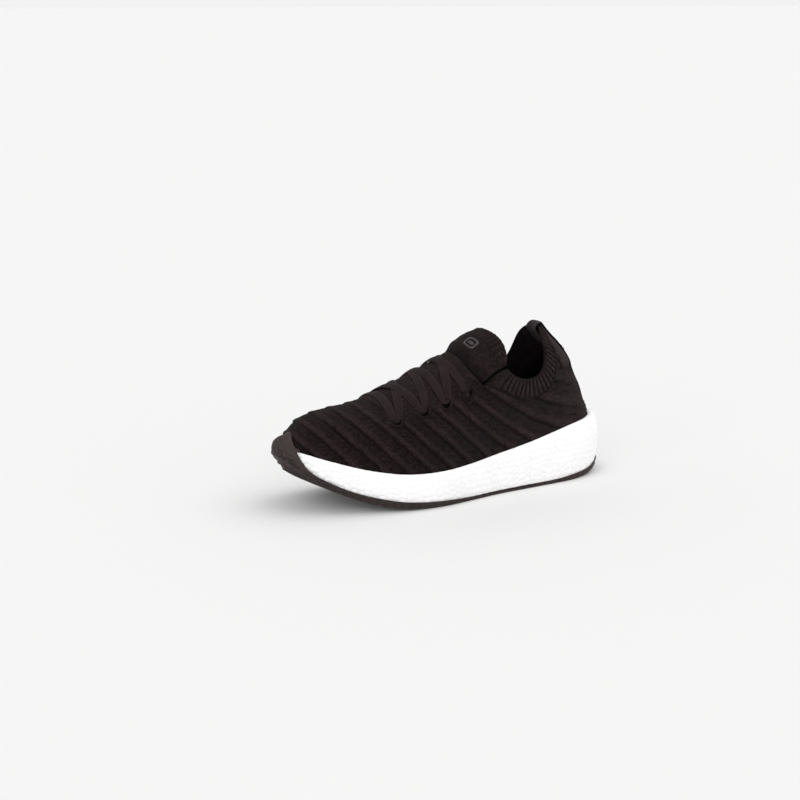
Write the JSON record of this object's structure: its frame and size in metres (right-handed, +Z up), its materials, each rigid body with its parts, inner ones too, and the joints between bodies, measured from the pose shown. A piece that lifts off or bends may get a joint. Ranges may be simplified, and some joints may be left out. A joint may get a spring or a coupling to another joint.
{
  "type": "running shoe",
  "caption": "Laced knit running shoe for the left foot with a thick foam midsole, rubber outsole with toe bumper, ribbed collar, padded tongue and heel pull strap.",
  "frame": {"origin": "bottom centre of the bounding box, under the middle of the sole, at ground level", "axes": "-X towards the toe, +X towards the heel, -Y the outer (lateral) side of this left shoe, +Z up"},
  "size_m": [0.2953, 0.101, 0.1333],
  "materials": {
    "rubber_sole": "dark brown-grey moulded rubber, matt, dimpled over the toe",
    "foam_white": "white expanded particle foam, softly pebbled",
    "board_cloth": "non-woven board",
    "thread_light": "twisted thread",
    "foam_dark": "soft open-cell foam",
    "lining_cloth": "soft brushed mesh",
    "stiffener": "thermoplastic sheet",
    "knit_black": "black engineered knit with raised wavy ridges",
    "rib_knit": "black rib knit",
    "thread_dark": "twisted thread",
    "pad_foam": "soft cut foam",
    "tape_cloth": "woven tape",
    "webbing": "black woven webbing",
    "lace_cloth": "black flat woven lace",
    "aglet_plastic": "black glossy film",
    "tab_knit": "smooth fine knit",
    "tongue_cloth": "smooth fine knit, ribbed towards the opening",
    "patch_print": "plain heat-pressed film",
    "label_cloth": "blank woven label"
  },
  "bodies": {
    "shoe": {"outsole": "rubber_sole", "midsole": "foam_white", "strobel_board": "board_cloth", "strobel_stitching": "thread_light", "sockliner_foam": "foam_dark", "sockliner_cover": "lining_cloth", "heel_counter": "stiffener", "toe_puff": "stiffener", "knit_upper": "knit_black", "rib_collar": "rib_knit", "collar_seam": "thread_dark", "heel_lining": "lining_cloth", "collar_pad_lateral": "pad_foam", "collar_pad_medial": "pad_foam", "eyestay_tape_lateral": "tape_cloth", "eyestay_tape_medial": "tape_cloth", "lace_loops": "webbing", "laces": "lace_cloth", "aglets": "aglet_plastic", "heel_tab": "tab_knit", "heel_strap": "webbing", "strap_stitching": "thread_dark"},
    "tongue": {"tongue_knit": "tongue_cloth", "tongue_foam": "pad_foam", "tongue_lining": "lining_cloth", "tongue_patch": "patch_print", "size_label": "label_cloth"}
  },
  "joints": [
    {"name": "tongue_tilt", "type": "hinge", "parent": "shoe", "child": "tongue", "pos_m": [0.0045, 0.0013, 0.118], "axis": [0, -1, 0], "range_deg": [0, 35], "stiffness_Nm_per_rad": 0.05}
  ]
}
